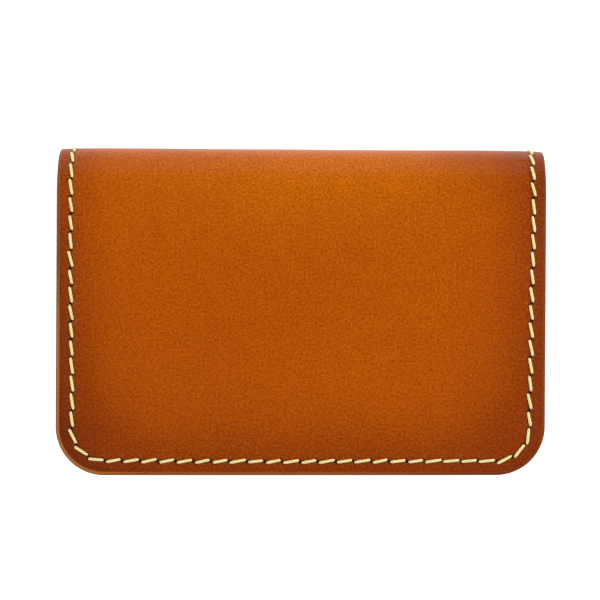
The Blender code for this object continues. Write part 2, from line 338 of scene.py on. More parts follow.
def noise_node(tree, place_socket, scale, detail=2.0, roughness=0.5):
    """A Noise texture read at a place given in metres, so scale is in repeats per metre."""
    node = tree.nodes.new("ShaderNodeTexNoise")
    tree.links.new(place_socket, node.inputs["Vector"])
    node.inputs["Detail"].default_value = detail
    node.inputs["Roughness"].default_value = roughness
    if isinstance(scale, bpy.types.NodeSocket):
        tree.links.new(scale, node.inputs["Scale"])
    else:
        node.inputs["Scale"].default_value = scale
    return node.outputs["Fac"]


def remap(tree, value, low, high, to_low=0.0, to_high=1.0):
    """A Map Range node with a smooth step and clamped ends."""
    node = tree.nodes.new("ShaderNodeMapRange")
    node.interpolation_type = "SMOOTHSTEP"
    tree.links.new(value, node.inputs["Value"])
    for name, number in (("From Min", low), ("From Max", high), ("To Min", to_low), ("To Max", to_high)):
        if isinstance(number, bpy.types.NodeSocket):
            tree.links.new(number, node.inputs[name])
        else:
            node.inputs[name].default_value = number
    return node.outputs["Result"]


print("node helpers:", new_group.__name__, math_node.__name__, noise_node.__name__, remap.__name__)

# %% [markdown]
# **Grain.** Smooth calf leather shows three sizes of pattern: pores a third of a
# millimetre apart, a soft cloudiness a few millimetres across where the dye took more or
# less, and broad patches left by the hand that wiped it on. Voronoi cells give pores with
# the raised, rounded islands between them; plain noise would look like sand.

# %% The grain group
PEBBLE_SCALE = 1900.0
FINE_SCALE = 3400.0
# Each mask is a noise (repeats per metre, detail, roughness), cut off between two levels
GRAIN_MASKS = {
    "Speckle": (1900.0, 3.0, 0.8, 0.28, 0.72),
    "Cloud": (260.0, 3.0, 0.6, 0.30, 0.70),
    "Patch": (42.0, 2.0, 0.5, 0.30, 0.70),
    "Fleck": (700.0, 1.0, 0.5, 0.75, 0.80),
}
grain, grain_in, grain_out = new_group(
    "leather_grain",
    [("Place", "NodeSocketVector", None), ("Pores per Metre", "NodeSocketFloat", 2600.0)],
    ["Height", *GRAIN_MASKS],
)
grain_place = grain_in.outputs["Place"]
pores = grain.nodes.new("ShaderNodeTexVoronoi")
grain.links.new(grain_place, pores.inputs["Vector"])
grain.links.new(grain_in.outputs["Pores per Metre"], pores.inputs["Scale"])
islands = remap(grain, pores.outputs["Distance"], 0.05, 0.75, 1.0, 0.0)
pebble = noise_node(grain, grain_place, PEBBLE_SCALE, 2.0, 0.6)
fine = noise_node(grain, grain_place, FINE_SCALE, 3.0, 0.65)
height = math_node(grain, "MULTIPLY", fine, 0.18)
height = math_node(grain, "MULTIPLY_ADD", islands, 0.22, height)
height = math_node(grain, "ADD", height, pebble)
grain.links.new(height, grain_out.inputs["Height"])
for mask_name, (scale, detail, roughness, low, high) in GRAIN_MASKS.items():
    noise = noise_node(grain, grain_place, scale, detail, roughness)
    grain.links.new(remap(grain, noise, low, high), grain_out.inputs[mask_name])
print("grain group:", len(grain.nodes), "nodes")

# %% [markdown]
# **Edge dye and edge wear.** The maker darkens the cover towards its cut edges, then
# bevels and rubs the very edge, which takes the dye off again in a thin, uneven line. Both
# depend only on the distance to the cut edge, which the mesh carries as an attribute in
# millimetres, and on some noise so that they don't look ruled.

# %% The edge group: how far in the dye goes, and the darkest rim
DYE_WANDER_MM = 3.0
RIM_REACH_MM = 4.6
edges, edges_in, edges_out = new_group(
    "leather_edge",
    [
        ("Place", "NodeSocketVector", None),
        ("Edge mm", "NodeSocketFloat", 10.0),
        ("Dye Reach mm", "NodeSocketFloat", 14.0),
        ("Wear Width mm", "NodeSocketFloat", 1.0),
        ("Rub", "NodeSocketFloat", 1.0),
        ("Share", "NodeSocketFloat", 1.0),
    ],
    ["Dye", "Rim", "Wear", "Cut"],
)
edges_place = edges_in.outputs["Place"]
from_edge = edges_in.outputs["Edge mm"]
dye_share = edges_in.outputs["Share"]
wander = noise_node(edges, edges_place, 90.0, 3.0, 0.6)
wandered = math_node(edges, "MULTIPLY_ADD", wander, DYE_WANDER_MM, -DYE_WANDER_MM / 2)
distance = math_node(edges, "ADD", from_edge, wandered)
dyed = remap(edges, distance, 1.0, edges_in.outputs["Dye Reach mm"], 0.85, 0.0)
edges.links.new(math_node(edges, "MULTIPLY", dyed, dye_share, clamp=True), edges_out.inputs["Dye"])
darkest = remap(edges, distance, 0.0, RIM_REACH_MM, 0.62, 0.0)
edges.links.new(math_node(edges, "MULTIPLY", darkest, dye_share, clamp=True), edges_out.inputs["Rim"])
print("edge group, dye only:", len(edges.nodes), "nodes")

# %% The edge group: the rubbed line and the cut itself
rubbed = remap(edges, noise_node(edges, edges_place, 220.0, 4.0, 0.7), 0.22, 0.46)
rubbed = math_node(edges, "MULTIPLY", rubbed, edges_in.outputs["Rub"])
inside = remap(edges, from_edge, 0.14, 0.36)
outside = math_node(edges, "SUBTRACT", edges_in.outputs["Wear Width mm"], from_edge)
band = math_node(edges, "MULTIPLY", inside, remap(edges, outside, -0.1, 0.25))
edges.links.new(math_node(edges, "MULTIPLY", band, rubbed), edges_out.inputs["Wear"])
edges.links.new(remap(edges, from_edge, 0.05, 0.30, 1.0, 0.0), edges_out.inputs["Cut"])
print("edge group:", len(edges.nodes), "nodes")

# %% [markdown]
# ** Awl holes.** Each stitch goes down through a hole that an awl pushed open, and the
# thread pulls the leather in a little. The mesh carries its seam coordinates (stitches
# along, millimetres across), so a mask can put a small dark oval of painted shadow at
# every whole number.

# %% The awl hole group: a dark oval of painted shadow at every hole
holes, holes_in, holes_out = new_group(
    "awl_holes",
    [
        ("Seam", "NodeSocketVector", None),
        ("Hole mm", "NodeSocketFloat", 0.17),
        ("Lean", "NodeSocketFloat", 0.16),
    ],
    ["Hole", "Stitch Shadow and Furrow", "Glint"],
)
HOLE_FADE = 2.6
split = holes.nodes.new("ShaderNodeSeparateXYZ")
holes.links.new(holes_in.outputs["Seam"], split.inputs[0])
stitches_along, across_mm = split.outputs[0], split.outputs[1]
from_hole = math_node(holes, "FRACT", math_node(holes, "ADD", stitches_along, 0.5))
from_hole = math_node(holes, "SUBTRACT", from_hole, 0.5)
from_hole = math_node(holes, "MULTIPLY", from_hole, 1000 * PITCH)
squares = math_node(holes, "MULTIPLY", from_hole, from_hole)
squares = math_node(holes, "MULTIPLY_ADD", across_mm, across_mm, squares)
reach = math_node(holes, "SQRT", squares)
hole_mm = holes_in.outputs["Hole mm"]
grown = math_node(holes, "MULTIPLY", hole_mm, HOLE_FADE)
holes.links.new(remap(holes, reach, hole_mm, grown, 1.0, 0.0), holes_out.inputs["Hole"])
print("awl hole group, holes only:", len(holes.nodes), "nodes")

# %% The awl hole group: painted shadow and a furrow beside a stitch, and a painted glint inwards of a hole
from_middle = math_node(holes, "SUBTRACT", math_node(holes, "FRACT", stitches_along), 0.5)
from_middle = math_node(holes, "MULTIPLY", from_middle, 1000 * PITCH)
leaning = math_node(holes, "MULTIPLY_ADD", from_middle, holes_in.outputs["Lean"], across_mm)
beside = remap(holes, math_node(holes, "ABSOLUTE", leaning), 0.34, 0.66, 1.0, 0.0)
holes.links.new(beside, holes_out.inputs["Stitch Shadow and Furrow"])
# A painted glint: a pale streak inwards of each hole.
narrow = remap(holes, math_node(holes, "ABSOLUTE", from_hole), 0.10, 0.42, 1.0, 0.0)
inwards = remap(holes, across_mm, -1.9, -1.1)
inwards = math_node(holes, "MULTIPLY", inwards, remap(holes, across_mm, -0.9, -0.6, 1.0, 0.0))
holes.links.new(math_node(holes, "MULTIPLY", narrow, inwards), holes_out.inputs["Glint"])
print("awl hole group:", len(holes.nodes), "nodes")

# %% [markdown]
# ## Leather
#
# All the leathers share one recipe with their own colours: a base that drifts with the
# clouds of dye, darker towards the cut edge, a worn rim, near-black awl holes and a
# bump from the grain. Light and shade are painted into the colour too: painted light
# beside the fold, painted shade towards the open edges, painted shadow in the holes and
# beside each stitch, and painted glints inwards of the holes. The alternative, a separate
# tree for each leather, would drift apart as they were tuned. Roughness follows the
# grain: the islands are polished and the pores are not.

# %% Helpers for a material's tree


def mix(tree, factor, first, second, blend="MIX"):
    """A colour mix whose inputs are sockets, colours or, for the factor, a number."""
    node = tree.nodes.new("ShaderNodeMix")
    node.data_type, node.blend_type = "RGBA", blend
    if isinstance(factor, bpy.types.NodeSocket):
        tree.links.new(factor, node.inputs["Factor"])
    else:
        node.inputs["Factor"].default_value = factor
    for name, value in (("A", first), ("B", second)):
        socket = [s for s in node.inputs if s.name == name and s.type == "RGBA"][0]
        if isinstance(value, bpy.types.NodeSocket):
            tree.links.new(value, socket)
        else:
            socket.default_value = (*value, 1)
    return [s for s in node.outputs if s.type == "RGBA"][0]


def attribute(tree, name, output):
    """A value or vector that the mesh carries."""
    node = tree.nodes.new("ShaderNodeAttribute")
    node.attribute_name = name
    return node.outputs[output]


def use_group(tree, group, **inputs):
    """Place a group, with sockets or numbers for its inputs."""
    node = tree.nodes.new("ShaderNodeGroup")
    node.node_tree = group
    for name, value in inputs.items():
        socket = node.inputs[name.replace("_", " ")]
        if isinstance(value, bpy.types.NodeSocket):
            tree.links.new(value, socket)
        else:
            socket.default_value = value
    return node.outputs


def bump_from(tree, height, distance):
    """Bump a material's surface by a height, whose full range is a distance in metres."""
    surface = tree.nodes.new("ShaderNodeBump")
    surface.inputs["Strength"].default_value = 1.0
    surface.inputs["Distance"].default_value = distance
    tree.links.new(height, surface.inputs["Height"])
    tree.links.new(surface.outputs["Normal"], tree.nodes["Principled BSDF"].inputs["Normal"])


def start_material(name):
    """A material with nodes, its tree and its shader."""
    material = bpy.data.materials.new(name)
    material.use_nodes = True
    return material, material.node_tree, material.node_tree.nodes["Principled BSDF"]


print("tree helpers:", mix.__name__, attribute.__name__, use_group.__name__, bump_from.__name__)

# %% The dye of a leather: its colour from the cloudy base to the awl holes
PALE_MOTTLE = (1.31, 1.62, 2.20)
DARK_MOTTLE = (0.69, 0.44, 0.30)
# Painted shadow inside the awl holes.
HOLE_SHADOW_COLOUR = (0.020, 0.005, 0.002)


def dyed_base(tree, colours, edge, pattern, mottled):
    """The dyed colour of a leather, with painted light and painted shade, before wear, the cut and the
    holes.
    """
    # Painted shade: the shade depth darkens the colour towards the open edges, and past 1 towards the
    # rim colour.
    depth = attribute(tree, "painted_shade_depth", "Fac")
    # Painted light: the lit colour, mixed in beside the fold.
    colour = mix(tree, attribute(tree, "painted_light", "Fac"), colours["plain"], colours["lit"])
    dark = math_node(tree, "MULTIPLY", depth, 1.0, clamp=True)
    darkest = math_node(tree, "SUBTRACT", depth, 1.0, clamp=True)
    patches = math_node(tree, "MULTIPLY", pattern["Patch"], 0.10)
    clouds = math_node(tree, "MULTIPLY", pattern["Cloud"], 0.14)
    layers = [(dark, "shade"), (edge["Dye"], "shade"), (edge["Rim"], "rim"), (darkest, "rim")]
    for amount, colour_name in layers + [(patches, "shade"), (clouds, "shade")]:
        colour = mix(tree, amount, colour, colours[colour_name])
    mottle = mix(tree, pattern["Speckle"], PALE_MOTTLE, DARK_MOTTLE)
    return mix(tree, mottled, colour, mottle, "MULTIPLY")


def handled(tree, colour, colours, edge, awl, pattern):
    """The same leather after sewing and use: flecked, rubbed, cut and pierced, with painted glints
    inwards of the holes and painted shadow beside each stitch and in each hole.
    """
    # Painted glints: pale streaks of the worn colour inwards of the holes, strongest in the patches.
    glint_patchiness = remap(tree, pattern["Patch"], 0.45, 0.85, 0.0, 0.34)
    painted_glint = math_node(tree, "MULTIPLY", awl["Glint"], glint_patchiness)
    flecks = math_node(tree, "MULTIPLY", pattern["Fleck"], 0.55)
    wear = math_node(tree, "MULTIPLY", edge["Wear"], 0.95)
    # Painted shadow: the cut colour darkens the leather beside each stitch.
    stitch_shadow = math_node(tree, "MULTIPLY", awl["Stitch Shadow and Furrow"], 0.66)
    layers = [(painted_glint, "worn"), (flecks, "rim"), (wear, "worn"), (edge["Cut"], "cut"), (stitch_shadow, "cut")]
    for amount, colour_name in layers:
        colour = mix(tree, amount, colour, colours[colour_name])
    # Painted shadow: each awl hole is painted near-black.
    return mix(tree, awl["Hole"], colour, HOLE_SHADOW_COLOUR)


print("holes are", [round(255 * c ** (1 / 2.2)) for c in HOLE_SHADOW_COLOUR], "in red, green and blue")

# %% The leather recipe
RECIPE = {
    "dye_reach": 14.0,
    "wear": 1.0,
    "pores_per_metre": 2600.0,
    "lean": 0.16,
    "gloss": 0.25,
    "mottled": 1.0,
}


def leather(name, colours, roughness, bump, **changes):
    """A leather from its colours: bright, plain, shade, rim, worn and cut."""
    recipe = {**RECIPE, **changes}
    material, tree, shader = start_material(name)
    where = attribute(tree, "flat_place", "Vector")
    pattern = use_group(tree, grain, Place=where, Pores_per_Metre=recipe["pores_per_metre"])
    edge = use_group(
        tree,
        edges,
        Place=where,
        Edge_mm=attribute(tree, "edge_mm", "Fac"),
        Dye_Reach_mm=recipe["dye_reach"],
        Wear_Width_mm=recipe["wear"],
        Rub=attribute(tree, "rub", "Fac"),
        Share=attribute(tree, "dye_share", "Fac"),
    )
    awl = use_group(tree, holes, Seam=attribute(tree, "seam", "Vector"), Lean=recipe["lean"])
    colour = dyed_base(tree, colours, edge, pattern, recipe["mottled"])
    colour = handled(tree, colour, colours, edge, awl, pattern)
    tree.links.new(colour, shader.inputs["Base Color"])
    uneven = math_node(tree, "MULTIPLY_ADD", pattern["Speckle"], 0.10, roughness - 0.05)
    uneven = math_node(tree, "MULTIPLY_ADD", pattern["Patch"], 0.06, uneven)
    tree.links.new(uneven, shader.inputs["Roughness"])
    height = math_node(tree, "MULTIPLY_ADD", awl["Hole"], -6.0, pattern["Height"])
    height = math_node(tree, "MULTIPLY_ADD", awl["Stitch Shadow and Furrow"], -2.5, height)
    bump_from(tree, height, bump)
    shader.inputs["Metallic"].default_value = 0.0
    shader.inputs["Specular IOR Level"].default_value = recipe["gloss"]
    return material


print("recipe:", RECIPE)

# %% Four leathers
# Each leather's lit colour is the painted light beside the fold. Shade and rim are the dye's dark tones
# and also the painted shade towards the open edges; worn is the rubbed edge and also the painted glints;
# cut is the cut edge and also the painted shadow beside the stitches.
COVER_COLOURS = {
    "lit": (0.50, 0.115, 0.0012),
    "plain": (0.41, 0.076, 0.0012),
    "shade": (0.235, 0.035, 0.0018),
    "rim": (0.130, 0.020, 0.0040),
    "worn": (0.40, 0.130, 0.019),
    "cut": (0.055, 0.012, 0.003),
}
POCKET_COLOURS = {
    "lit": (0.46, 0.100, 0.003),
    "plain": (0.40, 0.084, 0.003),
    "shade": (0.29, 0.052, 0.003),
    "rim": (0.19, 0.034, 0.004),
    "worn": (0.46, 0.17, 0.035),
    "cut": (0.075, 0.020, 0.006),
}
LINING_COLOURS = {
    "lit": (0.56, 0.28, 0.10),
    "plain": (0.52, 0.25, 0.085),
    "shade": (0.43, 0.18, 0.055),
    "rim": (0.33, 0.13, 0.038),
    "worn": (0.56, 0.30, 0.12),
    "cut": (0.10, 0.030, 0.010),
}
cover_leather = leather("cover_leather", COVER_COLOURS, 0.31, 0.045 * MM, wear=0.88, gloss=0.14)
pocket_leather = leather("pocket_leather", POCKET_COLOURS, 0.44, 0.022 * MM, dye_reach=8.0, lean=-0.16)
lining_leather = leather(
    "lining_leather",
    LINING_COLOURS,
    0.66,
    0.026 * MM,
    dye_reach=5.0,
    pores_per_metre=3400.0,
    lean=-0.16,
    mottled=0.35,
)
gusset_leather = leather("gusset_leather", POCKET_COLOURS, 0.52, 0.024 * MM, dye_reach=6.0)
print("leathers:", [m.name for m in (cover_leather, pocket_leather, lining_leather, gusset_leather)])

# %% [markdown]
# ## Waxed thread
#
# The thread is three strands of linen twisted together and waxed. The strands are real
# geometry, because they show in the outline of each stitch; the fibres in a strand are
# a fine noise, stretched along it. Wax gives a soft sheen, and the colour is darker
# between the strands, so the mesh carries how deep a point is between them.

# %% The thread material
CREAM = (1.00, 0.90, 0.43)
STRAND_VALLEY_COLOUR = (0.52, 0.33, 0.08)
LINEN = (0.78, 0.60, 0.24)
thread, thread_tree, thread_shader = start_material("waxed_thread")
fibre_place = attribute(thread_tree, "fibre_place", "Vector")
valley = attribute(thread_tree, "valley", "Fac")
fibres = noise_node(thread_tree, fibre_place, 1.0, 3.0, 0.6)
fibre_share = math_node(thread_tree, "MULTIPLY", fibres, 0.4)
# The colour is darker between the strands.
thread_colour = mix(thread_tree, valley, CREAM, STRAND_VALLEY_COLOUR)
thread_colour = mix(thread_tree, fibre_share, thread_colour, LINEN)
thread_tree.links.new(thread_colour, thread_shader.inputs["Base Color"])
bump_from(thread_tree, fibres, 0.03 * MM)
thread_shader.inputs["Roughness"].default_value = 0.55
thread_shader.inputs["Specular IOR Level"].default_value = 0.4
thread_shader.inputs["Sheen Weight"].default_value = 0.15
print("thread material:", len(thread_tree.nodes), "nodes")

# %% [markdown]
# ## Making a sheet of leather
#
# A sheet is a closed solid: an outer and an inner face joined by a rounded edge. It could
# be a plane with Solidify and Bevel, but the bevel's width, the furrow of the seam and
# the attributes for the shaders all need to know where a point lies on the flat sheet.
# So the face is a grid of rows across v and columns along x. Rows near a rounded end
# follow the corner's arc, and the edge is swept from the grid's outline.

# %% Rows and columns of a sheet's grid


def spaced(start, end, step):
    """Evenly spaced values from start up to, but not including, end."""
    count = max(1, math.ceil(abs(end - start) / step))
    return list(np.linspace(start, end, count, endpoint=False))


def end_rows(end, inner_end, rounded, bevel, outward):
    """Rows near one end of a sheet, as (v, half width), from the inside out."""
    half = WIDTH / 2 - bevel
    if not rounded:
        last = end - outward * bevel
        return [(v, half) for v in [*spaced(inner_end, last, 0.5 * MM), last]]
    centre, radius = end - outward * CORNER_RADIUS, CORNER_RADIUS - bevel
    rows = [(v, half) for v in spaced(inner_end, centre, MM)]
    for angle in np.linspace(0, math.pi / 2, 31):
        rows.append((centre + outward * radius * math.sin(angle), half - radius * (1 - math.cos(angle))))
    return rows


def sheet_rows(v_low, v_high, rounded, bevel, cuts):
    """All rows from low to high v. They fall on the cuts, and are closer over the fold."""
    near = 12 * MM
    low_rows = end_rows(v_low, v_low + near, rounded[0], bevel, -1)[::-1]
    high_rows = end_rows(v_high, v_high - near, rounded[1], bevel, 1)
    stops = [v_low + near] + [c for c in cuts if v_low + near < c < v_high - near] + [v_high - near]
    middle = []
    for start, stop in zip(stops, stops[1:]):
        over_fold = min(abs(start), abs(stop)) < 16 * MM
        middle += spaced(start, stop, 0.4 * MM if over_fold else 0.9 * MM)
    return low_rows + [(v, WIDTH / 2 - bevel) for v in middle[1:]] + high_rows


def column_shares():
    """Places of the columns across a row, from -1 to 1, closer together near the seam."""
    near_seam = 1 - 6.5 * MM / (WIDTH / 2)
    half = spaced(1.0, near_seam, 0.32 * MM / (WIDTH / 2))
    half += spaced(near_seam, 0.0, 1.6 * MM / (WIDTH / 2))
    return np.array([-share for share in half] + [0.0] + half[::-1])


print("a row has", len(column_shares()), "points")

# %% [markdown]
# A cut edge isn't straight through: the maker's beveller takes off the corners and the
# burnisher rounds what is left. The edge of a sheet is therefore swept over a half-round
# in six steps, from the outer face to the inner one.

# %% Faces and outline of a grid, and the steps of its edge
STEP_ANGLES = (30, 60, 90)


def grid_faces(rows, columns, first, flip):
    """Quads of one face of the sheet, whose corners start at an index."""
    i, j = np.meshgrid(np.arange(rows - 1), np.arange(columns - 1), indexing="ij")
    a = (first + i * columns + j).ravel()
    quads = np.stack([a, a + 1, a + columns + 1, a + columns], axis=1)
    return quads[:, ::-1] if flip else quads


def outline_loop(rows, columns):
    """Indices of the grid's outline, once round."""
    low = np.arange(columns)
    right = np.arange(1, rows) * columns + columns - 1
    high = (rows - 1) * columns + np.arange(columns - 2, -1, -1)
    left = np.arange(rows - 2, 0, -1) * columns
    return np.concatenate([low, right, high, left])


def edge_steps(w_top, w_bottom, bevel):
    """The rounded edge's steps, as (share of the bevel outwards, w), from top to bottom."""
    depth = min(bevel, (w_bottom - w_top) / 2)
    steps = []
    for angle in np.radians(STEP_ANGLES):
        steps.append((math.sin(angle), w_top + depth * (1 - math.cos(angle))))
    for angle in np.radians(STEP_ANGLES[::-1]):
        steps.append((math.sin(angle), w_bottom - depth * (1 - math.cos(angle))))
    return steps


print("the edge has", len(edge_steps(0.0, LINING_AT, MM)), "steps")

# %% Join rows and columns into a closed sheet


def flat_sheet(v_low, v_high, rounded, w_top, w_bottom, bevel, cuts=()):
    """Flat points (x, v, w) and quads of a sheet with a rounded edge."""
    rows = np.array(sheet_rows(v_low, v_high, rounded, bevel, cuts))
    shares = column_shares()
    x = rows[:, 1:] * shares[None, :]
    v = np.repeat(rows[:, :1], len(shares), axis=1)
    face = np.stack([x, v], axis=-1).reshape(-1, 2)
    loop = outline_loop(len(rows), len(shares))
    outline = face[loop]
    along = np.roll(outline, -1, axis=0) - np.roll(outline, 1, axis=0)
    normal = np.stack([along[:, 1], -along[:, 0]], axis=1)
    normal /= np.maximum(np.linalg.norm(normal, axis=1, keepdims=True), 1e-12)
    points = [np.column_stack([face, np.full(len(face), w)]) for w in (w_top, w_bottom)]
    lines = [loop]
    for step, (out, w) in enumerate(edge_steps(w_top, w_bottom, bevel)):
        points.append(np.column_stack([outline + normal * bevel * out, np.full(len(loop), w)]))
        lines.append(2 * len(face) + step * len(loop) + np.arange(len(loop)))
    lines.append(len(face) + loop)
    quads = [grid_faces(len(rows), len(shares), 0, False)]
    quads.append(grid_faces(len(rows), len(shares), len(face), True))
    for upper, lower in zip(lines, lines[1:]):
        quads.append(np.stack([upper, lower, np.roll(lower, -1), np.roll(upper, -1)], axis=1))
    return np.concatenate(points), np.concatenate(quads)


trial_points, trial_quads = flat_sheet(0, HALF_LENGTH, (False, True), 0.0, LINING_AT, 0.3 * MM)
print("half a cover has", len(trial_points), "points and", len(trial_quads), "quads")

# %% [markdown]
# Hand-stitched leather is never flat: the seam pulls a furrow, the panel swells a little
# inside it, every stitch puckers the leather beside it, and the hide itself has broad,
# faint waves. This is geometry and not bump, so it also shows in reflections at a
# glancing angle.

# %% Relief of a stitched face
FURROW = 0.16 * MM
PUCKER = 0.08 * MM
ROLL_OFF = 0.22 * MM
WAVE = 0.05 * MM


def relief(x, v, closeness):
    """How far a stitched outer face sinks at flat points, in metres."""
    along, across = seam_place(x, v)
    furrow = FURROW * np.exp(-((across / (0.75 * MM)) ** 2))
    pulls = 0.5 + 0.5 * np.cos(2 * math.pi * along / PITCH)
    pucker = PUCKER * pulls * np.exp(-(((across + 1.2 * MM) / (1.3 * MM)) ** 2))
    roll = ROLL_OFF * smooth(across, -0.5 * MM, SEAM_INSET)
    wave = np.sin(x / (9.1 * MM) + 1.3 * np.sin(v / (17 * MM))) * np.sin(v / (7.3 * MM) + x / (31 * MM))
    inside = smooth(-across, 2 * MM, 14 * MM)
    return closeness * (furrow + pucker + roll + WAVE * wave * inside)


furrow_depth = float(relief(0.0, SEAM_V, 1.0))
print("on the seam a face lies", round(1000 * furrow_depth, 2), "mm lower")

# %% Distance from the cut edge, and the painted light beside the fold


def edge_distance(x, v, v_low, v_high, rounded):
    """Distance to the sheet's cut edge, in metres, negative outside it."""
    middle, half_v = (v_low + v_high) / 2, (v_high - v_low) / 2
    high_side = v > middle
    radius = np.where(high_side, CORNER_RADIUS if rounded[1] else 0, CORNER_RADIUS if rounded[0] else 0)
    out_x, out_v = np.abs(x) - WIDTH / 2 + radius, np.abs(v - middle) - half_v + radius
    outside = np.hypot(np.maximum(out_x, 0), np.maximum(out_v, 0))
    return radius - outside - np.minimum(np.maximum(out_x, out_v), 0)


def painted_light_of(x, v):
    """Painted light: where the colour is made brighter, on both sides of the fold, as if lit from beyond
    it.
    """
    return np.exp(-(((x - 4 * MM) / (46 * MM)) ** 2) - ((np.abs(v) - 8 * MM) / (14 * MM)) ** 2)


print("the glow at the crest is", round(float(painted_light_of(0.0, 0.0)), 2))

# %% Painted shade towards the open edges, where the edge dye was spared, and where the edge is rubbed


def painted_shade_of(x, v):
    """Painted shade: how much darker the colour is made towards the open edges, and most in their
    corners.
    """
    to_end = smooth(np.abs(v), HALF_LENGTH - 24 * MM, HALF_LENGTH - 3 * MM)
    to_corner = smooth(np.abs(x), 28 * MM, 52 * MM)
    to_corner = to_corner * smooth(np.abs(v), 20 * MM, HALF_LENGTH - 5 * MM)
    by_fold = smooth(x, 22 * MM, 50 * MM) * np.exp(-((v / (20 * MM)) ** 2))
    hand = np.exp(-(((x + 18 * MM) / (15 * MM)) ** 2) - ((np.abs(v) - 52 * MM) / (19 * MM)) ** 2)
    depth = np.clip(0.5 * to_end + 0.75 * to_corner + 0.62 * by_fold + 0.16 * hand, 0, 1)
    very_corner = smooth(-x, 41 * MM, 50 * MM) * smooth(np.abs(v), 60 * MM, 72 * MM)
    return depth + 0.45 * very_corner


def dye_share_of(x, v):
    """How much edge dye was put on: little on one side of the fold, and most in its corner."""
    in_corner = smooth(np.abs(v), 40 * MM, 72 * MM) * smooth(-x, 30 * MM, 50 * MM)
    one_side = 0.62 + 0.32 * smooth(np.abs(v), 8 * MM, 42 * MM) + 0.85 * in_corner
    return 0.94 + (one_side - 0.94) * smooth(-x, -20 * MM, 20 * MM)


def rub_of(x, v):
    """How much the cut edge was rubbed: most at the open corner that the thumb opens."""
    towards_thumb = 0.05 + 0.55 * smooth(-x, -46 * MM, 0) + 0.4 * smooth(-x, 25 * MM, 50 * MM)
    along_end = smooth(np.abs(v), HALF_LENGTH - 6 * MM, HALF_LENGTH) * smooth(x, -48 * MM, -38 * MM)
    return towards_thumb * (0.2 + 0.8 * smooth(np.abs(v), 26 * MM, 50 * MM)) * (1 - 0.3 * along_end)


thumb_corner = float(rub_of(-WIDTH / 2, HALF_LENGTH - 20 * MM))
print("the edge by the thumb is rubbed by", round(thumb_corner, 2))

# %% Turn points and quads into a piece


def point_normals(points, quads):
    """Smooth normals of a mesh, so that pieces cut from it shade as one."""
    a, b, c, d = (points[quads[:, k]] for k in range(4))
    face_normal = np.cross(c - a, d - b)
    normals = np.zeros_like(points)
    for k in range(4):
        np.add.at(normals, quads[:, k], face_normal)
    return normals / np.maximum(np.linalg.norm(normals, axis=1, keepdims=True), 1e-20)


def add_piece(name, points, quads, material, attributes, normals=None):
    """A named mesh object with smooth faces and the attributes that its shader reads."""
    used = np.unique(quads)
    renumber = np.zeros(len(points), int)
    renumber[used] = np.arange(len(used))
    mesh = bpy.data.meshes.new(name)
    mesh.from_pydata(points[used].tolist(), [], renumber[quads].tolist())
    for key, values in attributes.items():
        kind, field = ("FLOAT_VECTOR", "vector") if values.ndim == 2 else ("FLOAT", "value")
        stored = mesh.attributes.new(key, kind, "POINT")
        stored.data.foreach_set(field, values[used].astype(np.float32).ravel())
    mesh.shade_smooth()
    if normals is not None:
        mesh.normals_split_custom_set_from_vertices(normals[used].tolist())
    mesh.materials.append(material)
    piece = bpy.data.objects.new(name, mesh)
    bpy.context.scene.collection.objects.link(piece)
    return piece


def sheet_attributes(flat, v_low, v_high, rounded):
    """What the leather shaders read: the flat place, edge distance, seam, painted light, painted shade,
    edge dye share and rub.
    """
    x, v, w = flat.T
    along, across = seam_place(x, v)
    return {
        "flat_place": flat,
        "edge_mm": 1000 * edge_distance(x, v, v_low, v_high, rounded),
        "seam": np.column_stack([along / PITCH, 1000 * across, np.zeros(len(x))]),
        # Painted light beside the fold.
        "painted_light": painted_light_of(x, v),
        # Painted shade towards the open edges and corners.
        "painted_shade_depth": painted_shade_of(x, v),
        "dye_share": dye_share_of(x, v),
        "rub": rub_of(x, v),
    }


read_names = sheet_attributes(trial_points, 0, HALF_LENGTH, (False, True))
print("the leather reads", list(read_names))

# %% [markdown]
# ## The cover and the lining
#
# The cover is the biggest piece: 110 mm wide and about 156 mm long when it lies flat,
# with rounded corners at both ends. The lining has the same outline and lies inside it.
# Both cross the fold, so both are built whole and then divided at the cuts.

# %% Build the cover and the lining
BEVEL = 0.62 * MM
THIN_BEVEL = 0.3 * MM


def folded_sheet(names, nodes, w_top, w_bottom, bevel, closeness, material):
    """A full-length sheet, divided into four pieces at the cuts."""
    rounded = (True, True)
    flat, quads = flat_sheet(-HALF_LENGTH, HALF_LENGTH, rounded, w_top, w_bottom, bevel, CUTS[1:4])
    x, v, w = flat.T
    upper = smooth(w_bottom - w, 0, w_bottom - w_top)
    points = place(x, v, w + upper * relief(x, v, closeness))
    normals = point_normals(points, quads)
    attributes = sheet_attributes(flat, -HALF_LENGTH, HALF_LENGTH, rounded)
    middle_v = v[quads].mean(axis=1)
    for section, name in enumerate(names):
        own = (middle_v > CUTS[section]) & (middle_v < CUTS[section + 1])
        piece = add_piece(name, points, quads[own], material, attributes, normals)
        bend(piece, section)
        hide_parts(*nodes[section])
    print(names[0], "and its neighbours:", len(quads), "quads")


SECTION_NAMES = ["back", "fold_low", "fold_high", "front"]
folded_sheet(
    ["cover_" + name for name in SECTION_NAMES],
    [["back_cover"], ["spine_leather_1", "spine_leather_2"], ["spine_leather_3"], ["front_cover"]],
    0.0,
    LINING_AT - LAYER_GAP,
    BEVEL,
    1.0,
    cover_leather,
)
folded_sheet(
    ["lining_" + name for name in SECTION_NAMES],
    [["back_lining"], ["spine_lining_1", "spine_lining_2"], ["spine_lining_3"], ["front_lining"]],
    LINING_AT,
    INNER_AT - LAYER_GAP,
    THIN_BEVEL,
    0.0,
    lining_leather,
)

